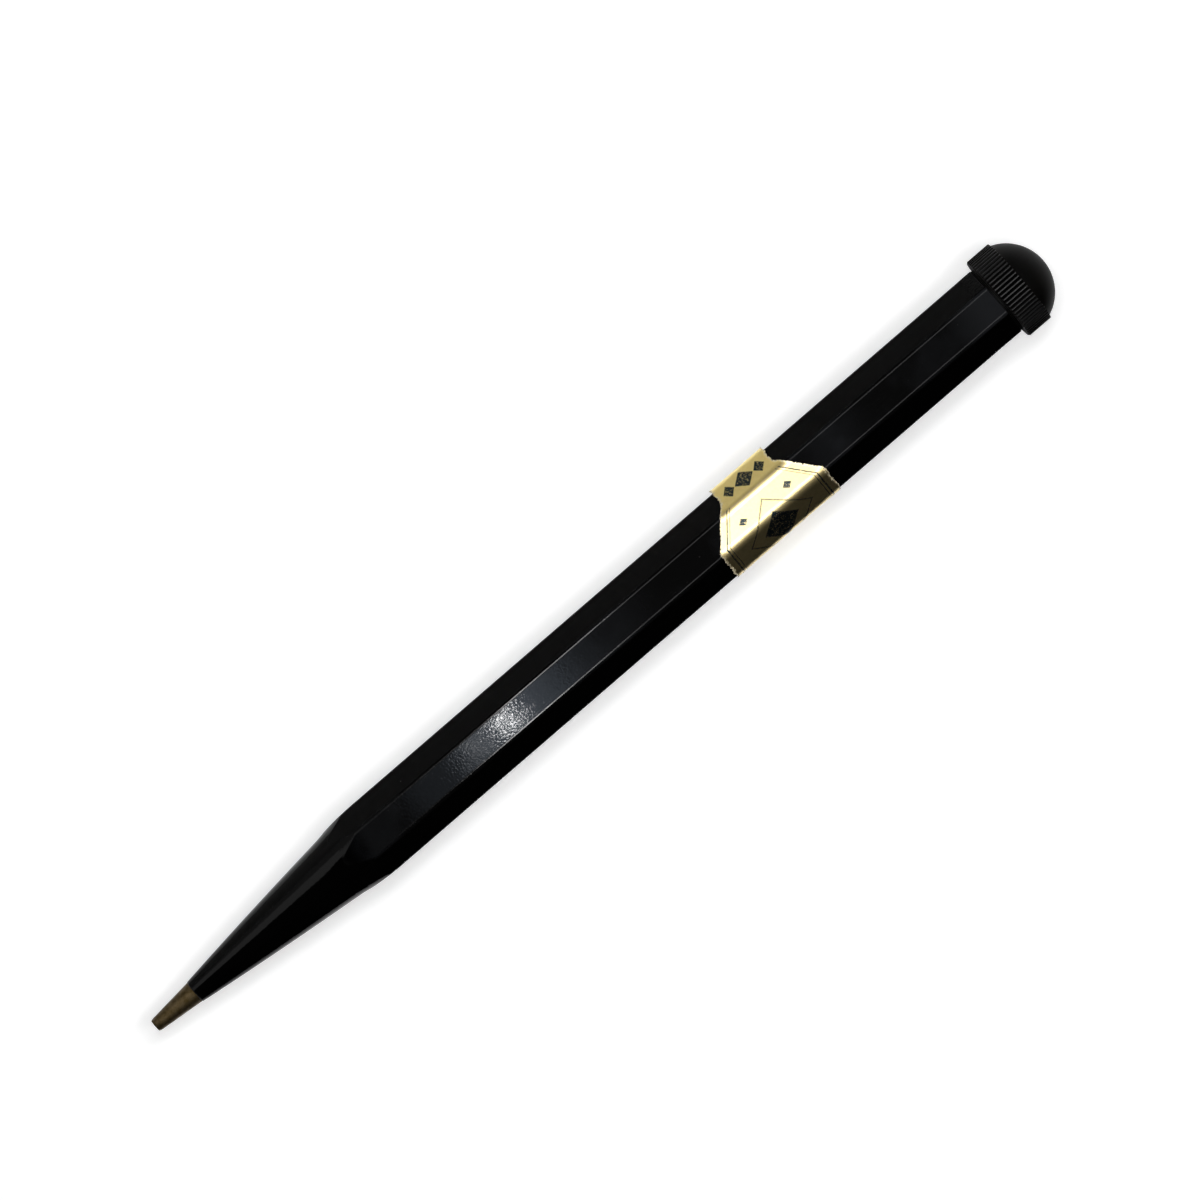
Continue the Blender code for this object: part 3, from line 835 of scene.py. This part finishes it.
# Print on the foil, in millimetres: inset and half width of the border's lines, then places and
# half sizes round and along the pencil
BORDER = (1.05, 0.09)
INNER_BORDER = (1.45, 0.045)
LINE_BLUR = 0.03
BADGE_BLUR = 0.05
LOZENGE = (4.1, 4.5)
LOZENGE_LINE = 0.026
LOZENGE_CORE = (2.3, 2.5)
ACCENT_PLACE = (3.5, 3.3)
ACCENT = (0.50, 0.62)
STRIP_DIAMOND = (1.35, 1.35)
STRIP_ACCENT_PLACE = 2.25
STRIP_ACCENT = (0.95, 0.80)
BADGE_GOLD = ((0.72, 0.57, 0.26, 1), (0.82, 0.67, 0.35, 1))
STRIP_GOLD = ((0.82, 0.65, 0.25, 1), (0.92, 0.76, 0.32, 1))
SLATE = (0.020, 0.030, 0.036, 1)
CREAM = (0.70, 0.64, 0.50, 1)
CRINKLE_DEPTH = 10.0 * MICRON
FINE_DEPTH = 0.8 * MICRON


def gold_foil():
    """Printed gold foil: a lozenge badge in a double border, diamonds on the strip, worn edges and
    a painted shadow line along its outer edge.
    """
    material, paint = new_finish("gold_foil")
    wrap_map = paint.node("ShaderNodeUVMap", {"uv_map": "wrap"})
    across = abs((paint.axis(wrap_map, "X") - 0.5) * (WRAP_SPAN / MM))
    reach = abs((paint.axis(wrap_map, "Y") - 0.5) * (WRAP_SPAN / MM))
    spots = paint.place()
    smudge = paint.cloud(spots, 0.35 * MM, 3, 0.6)
    fine = paint.cloud(spots, 0.12 * MM, 3, 0.6)
    wobble = (smudge - 0.5) * 0.10
    facet = 2 * (flat_radius + FOIL_OUTER) * math.tan(FACET_ANGLE / 2) / MM
    badge_side = facet * 1.5
    slant = {"Value": across, "From Min": SLANT_START / MM, "From Max": SLANT_END / MM}
    slant.update({"To Min": badge_half / MM, "To Max": STRIP_HALF / MM})
    edge = paint.node("ShaderNodeMapRange", None, slant) - reach + wobble
    on_badge = paint.fade(across, badge_side + BADGE_BLUR, badge_side - BADGE_BLUR)
    on_strip = paint.fade(across, badge_side, badge_side + BADGE_BLUR)

    def line(value, middle, half):
        """A line where the value is within half its width of the middle."""
        return paint.fade(abs(value - middle), half + LINE_BLUR, half - LINE_BLUR)

    def diamond(first, second, halves):
        """A filled diamond with slightly uneven sides."""
        shape = abs(first) / halves[0] + abs(second) / halves[1] + wobble * 0.4
        return paint.fade(shape, 1.04, 0.96)

    borders = line(edge, *BORDER) * on_badge + line(edge, *INNER_BORDER) * on_badge
    lozenge = across / LOZENGE[0] + reach / LOZENGE[1] + wobble * 0.3
    badge = line(lozenge, 1.0, LOZENGE_LINE) + diamond(across, reach, LOZENGE_CORE)
    accents = diamond(across - ACCENT_PLACE[0], reach - ACCENT_PLACE[1], ACCENT) * on_badge
    turns = (across - badge_side) / facet
    middle = (turns.math("FRACT", turns) - 0.5) * facet
    strip = diamond(middle, reach, STRIP_DIAMOND)
    strip = strip + diamond(middle, reach - STRIP_ACCENT_PLACE, STRIP_ACCENT)
    print_mask = borders + badge + accents + strip * on_strip
    print_mask = print_mask.math("MINIMUM", print_mask, 1.0)
    rubbed = paint.fade(fine + 0.6 * smudge, 0.84, 1.02)
    ink = print_mask * (1 - 0.85 * rubbed)

    frayed = paint.fade(edge + (smudge - 0.5) * 1.1 + (fine - 0.5) * 0.5, 0.24, 0.06)
    # Painted shadow: a dark, ragged line along the foil's outer edge, as under a lifted edge.
    painted_edge_shadow = paint.fade(edge + (smudge - 0.5) * 0.8 + (fine - 0.5) * 1.2, 0.02, -0.06)
    gold = paint.blend(smudge, *BADGE_GOLD)
    gold = paint.blend(on_strip, gold, paint.blend(smudge, *STRIP_GOLD))
    colour = paint.blend(ink, gold, SLATE)
    colour = paint.blend(frayed * 0.7, colour, CREAM)
    # The painted shadow darkens the foil's outer edge.
    colour = paint.blend(painted_edge_shadow, colour, grey(0.004))
    crinkle = paint.cloud(paint.place((0.6, 1, 1)), 0.9 * MM, 3, 0.55)
    normal = paint.bump(crinkle, CRINKLE_DEPTH)
    normal = paint.bump(fine, FINE_DEPTH, normal)
    paint.surface({
        "Base Color": colour,
        "Metallic": 1 - 0.7 * frayed,
        "Roughness": 0.28 + 0.06 * ink + 0.18 * frayed + 0.05 * smudge,
        "Normal": normal,
    })
    return material


finishes = {
    "barrel_black": barrel_black(),
    "knob_black": knob_black(),
    "gold_foil": gold_foil(),
}
for metal, look in METALS.items():
    finishes[metal] = metal_finish(metal, *look)
finishes["graphite"] = graphite()

# The dressed pieces, and the finishes of the CAD nodes that stay
make_barrel(finishes["barrel_black"])
make_nozzle(finishes["dull_brass"])
make_foil(finishes["gold_foil"])
make_knob(finishes["knob_black"])
make_plug(finishes["brass"])
make_lead(finishes["graphite"])
for subpart in frame["record"]["subparts"]:
    mesh = frame["nodes"][subpart["node"]].data
    mesh.materials.clear()
    mesh.materials.append(finishes[subpart["material_slot"]])


# Stage, light and camera

FLOOR_SIZE = 8.0
FLOOR_LEVEL = 0.88
FLOOR_GLOW = 0.38
PHOTO_TURN = math.radians(40.775)
CAMERA_DISTANCE = 1.0
CAMERA_AIM = Vector((3.29 * MM, 3.686 * MM, axis_height))
FRAME_WIDTH = 137.6 * MM
SENSOR = 36.0
CLIP_START = 0.01
CLIP_END = 50

# Cards that stand beside the pencil: grey level, glow, rear end, side and height
CARD_LENGTH = 0.60
CARD_SINK = 2 * MM
CARDS = {
    "flag_black": (0.002, 0.0, CARD_LENGTH / 2, -12 * MM, 22 * MM),
    "card_grey": (0.92, 0.16, knob_front, 16 * MM, 17 * MM),
}

# Black mat on the floor below the knob's rim, seen only in reflections: painted shade on the floor
# there
MAT_LEVEL = 0.004
MAT_LENGTH = 5 * MM
MAT_WIDTH = 50 * MM
MAT_PLACE = 1 * MM
MAT_RISE = 0.05 * MM

# Light of the room: levels, and between which parts of a direction each one fades in
ROOM_LEVEL = 0.01
OVERHEAD_LEVEL = 0.32
OVERHEAD_UP = (0.90, 0.98)
OVERHEAD_AHEAD = (-0.17, -0.08)
FRONT_LEVEL = 0.75
FRONT_SIDE = (0.18, 0.24)
FRONT_NEAR = (-0.08, -0.16)
FRONT_FAR = (-0.55, -0.42)
ENDS_LEVEL = 0.25
ENDS_AHEAD = (0.40, 0.80)

# Panels that face down: corners in X and Y, height, radiance, colour, and what they light
HIGH = 0.5
LOW = 0.10
SPOT_HEIGHT = 0.098
WHITE = (1.0, 1.0, 1.0)
BLUISH = (0.72, 0.84, 1.0)
PANELS = (
    ("softbox_left", (-0.037, 0.065), (0.313, 0.20), HIGH, 6.0, WHITE, "all"),
    ("softbox_right", (-0.02, -0.20), (0.33, -0.065), HIGH, 6.0, WHITE, "all"),
    ("softbox_front", (-0.295, 0.123), (-0.06, 0.45), HIGH, 1.25, WHITE, "reflections"),
    ("spotlight", (-0.0160, -0.0006), (-0.0146, 0.0008), SPOT_HEIGHT, 520.0, WHITE, "all"),
    ("spotlight_tail", (-0.0211, -0.0005), (-0.0199, 0.0007), SPOT_HEIGHT, 60.0, WHITE, "all"),
    ("window_inner", (-0.0200, -0.0060), (-0.0100, 0.0050), LOW, 8.5, BLUISH, "reflections"),
    ("window", (-0.0230, -0.0060), (-0.0060, 0.0050), LOW, 6.0, BLUISH, "reflections"),
    ("window_outer", (-0.0310, -0.0080), (-0.0010, 0.0070), LOW, 1.5, BLUISH, "reflections"),
    ("streak_left_core", (-0.0155, 0.0150), (-0.0110, 0.0450), LOW, 65.0, WHITE, "reflections"),
    ("streak_left", (-0.0110, 0.0150), (0.0015, 0.0450), LOW, 26.0, WHITE, "reflections"),
    ("streak_right_core", (-0.0180, -0.0450), (-0.0090, -0.0150), LOW, 85.0, WHITE, "reflections"),
    ("streak_right", (-0.0090, -0.0450), (0.0005, -0.0150), LOW, 18.0, WHITE, "reflections"),
    ("fill", (-0.16, -0.16), (0.16, 0.16), HIGH, 1.7, WHITE, "surfaces"),
)


def add_sheet(name, material, length, width, turn, centre):
    """A flat stage piece, sized, turned and then moved to its centre."""
    bm = bmesh.new()
    bmesh.ops.create_grid(bm, x_segments=1, y_segments=1, size=0.5)
    bmesh.ops.scale(bm, vec=(length, width, 1), verts=bm.verts)
    bmesh.ops.rotate(bm, cent=(0, 0, 0), matrix=turn, verts=bm.verts)
    bmesh.ops.translate(bm, vec=centre, verts=bm.verts)
    piece = add_object(name, bm, material)
    return piece


def make_floor():
    """White floor, leaning so that the knob's rim and the barrel's lowest facet rest on it."""
    material, paint = new_finish("floor_white")
    seen = paint.node("ShaderNodeLightPath", output="Is Camera Ray")
    for rays in ("Is Glossy Ray", "Is Transmission Ray"):
        seen = seen + paint.node("ShaderNodeLightPath", output=rays)
    paint.matte(FLOOR_LEVEL, seen * FLOOR_GLOW)
    lean = math.atan((axis_height - flat_radius) / (knob_front - roll_end))
    turn = Matrix.Rotation(lean, 3, "Y")
    add_sheet("floor", material, FLOOR_SIZE, FLOOR_SIZE, turn, (knob_front, 0, 0))


def add_reflected(name, level, glow, length, width, turn, centre):
    """A sheet that only reflections see."""
    material, paint = new_finish(name)
    paint.matte(level, glow)
    sheet = add_sheet(name, material, length, width, turn, centre)
    sheet.visible_camera = False
    sheet.visible_diffuse = False
    sheet.visible_shadow = False
    sheet.visible_transmission = False


def make_cards():
    """The cards, which stand for the surroundings, and a black mat that only reflections see,
    painted shade on the floor below the knob's rim.
    """
    upright = Matrix.Rotation(math.pi / 2, 3, "X")
    for name, (level, glow, rear, side, height) in CARDS.items():
        centre = (rear - CARD_LENGTH / 2, side, (height - CARD_SINK) / 2)
        add_reflected(name, level, glow, CARD_LENGTH, height + CARD_SINK, upright, centre)
    # Painted shade: a black sheet below the knob's rim that only reflections see.
    centre = (knob_front + MAT_PLACE, 0, MAT_RISE)
    lying = Matrix.Identity(3)
    add_reflected("painted_shade_mat", MAT_LEVEL, 0.0, MAT_LENGTH, MAT_WIDTH, lying, centre)


def make_world():
    """Dim room, lighter overhead, at the front on the +Y side and towards the pencil's ends."""
    world = bpy.data.worlds.new("room")
    bpy.context.scene.world = world
    world.use_nodes = True
    paint = Finish(world.node_tree)
    way = paint.node("ShaderNodeTexCoord", output="Generated")
    ahead = paint.axis(way, "X")
    overhead = paint.fade(paint.axis(way, "Z"), *OVERHEAD_UP) * paint.fade(ahead, *OVERHEAD_AHEAD)
    front = paint.fade(paint.axis(way, "Y"), *FRONT_SIDE)
    front = front * paint.fade(ahead, *FRONT_NEAR) * paint.fade(ahead, *FRONT_FAR)
    ends = paint.fade(abs(ahead), *ENDS_AHEAD)
    level = ROOM_LEVEL + OVERHEAD_LEVEL * overhead + FRONT_LEVEL * front + ENDS_LEVEL * ends
    sky = paint.node("ShaderNodeBackground", None, {"Color": grey(1.0), "Strength": level})
    paint.node("ShaderNodeOutputWorld", None, {"Surface": sky})


def add_panel(name, low, high, height, radiance, colour, lights):
    """A panel that faces down, and lights all, only surfaces or only reflections."""
    width, depth = high[0] - low[0], high[1] - low[1]
    light = bpy.data.lights.new(name, "AREA")
    light.shape = "RECTANGLE"
    light.size = width
    light.size_y = depth
    light.energy = radiance * math.pi * width * depth
    light.color = colour
    panel = bpy.data.objects.new(name, light)
    panel.location = ((low[0] + high[0]) / 2, (low[1] + high[1]) / 2, height)
    panel.visible_camera = False
    panel.visible_diffuse = lights != "reflections"
    panel.visible_glossy = lights != "surfaces"
    bpy.context.scene.collection.objects.link(panel)


def make_camera():
    """Camera straight above, with the pencil rising to the right as in the photograph."""
    camera_data = bpy.data.cameras.new("camera")
    camera_data.sensor_width = SENSOR
    camera_data.lens = SENSOR * CAMERA_DISTANCE / FRAME_WIDTH
    camera_data.clip_start = CLIP_START
    camera_data.clip_end = CLIP_END
    camera = bpy.data.objects.new("camera", camera_data)
    camera.location = CAMERA_AIM + Vector((0, 0, CAMERA_DISTANCE))
    camera.rotation_euler = (0, 0, -PHOTO_TURN)
    bpy.context.scene.collection.objects.link(camera)
    bpy.context.scene.camera = camera


make_floor()
make_cards()
make_world()
for panel_values in PANELS:
    add_panel(*panel_values)
make_camera()
bpy.context.scene.view_settings.view_transform = "Standard"
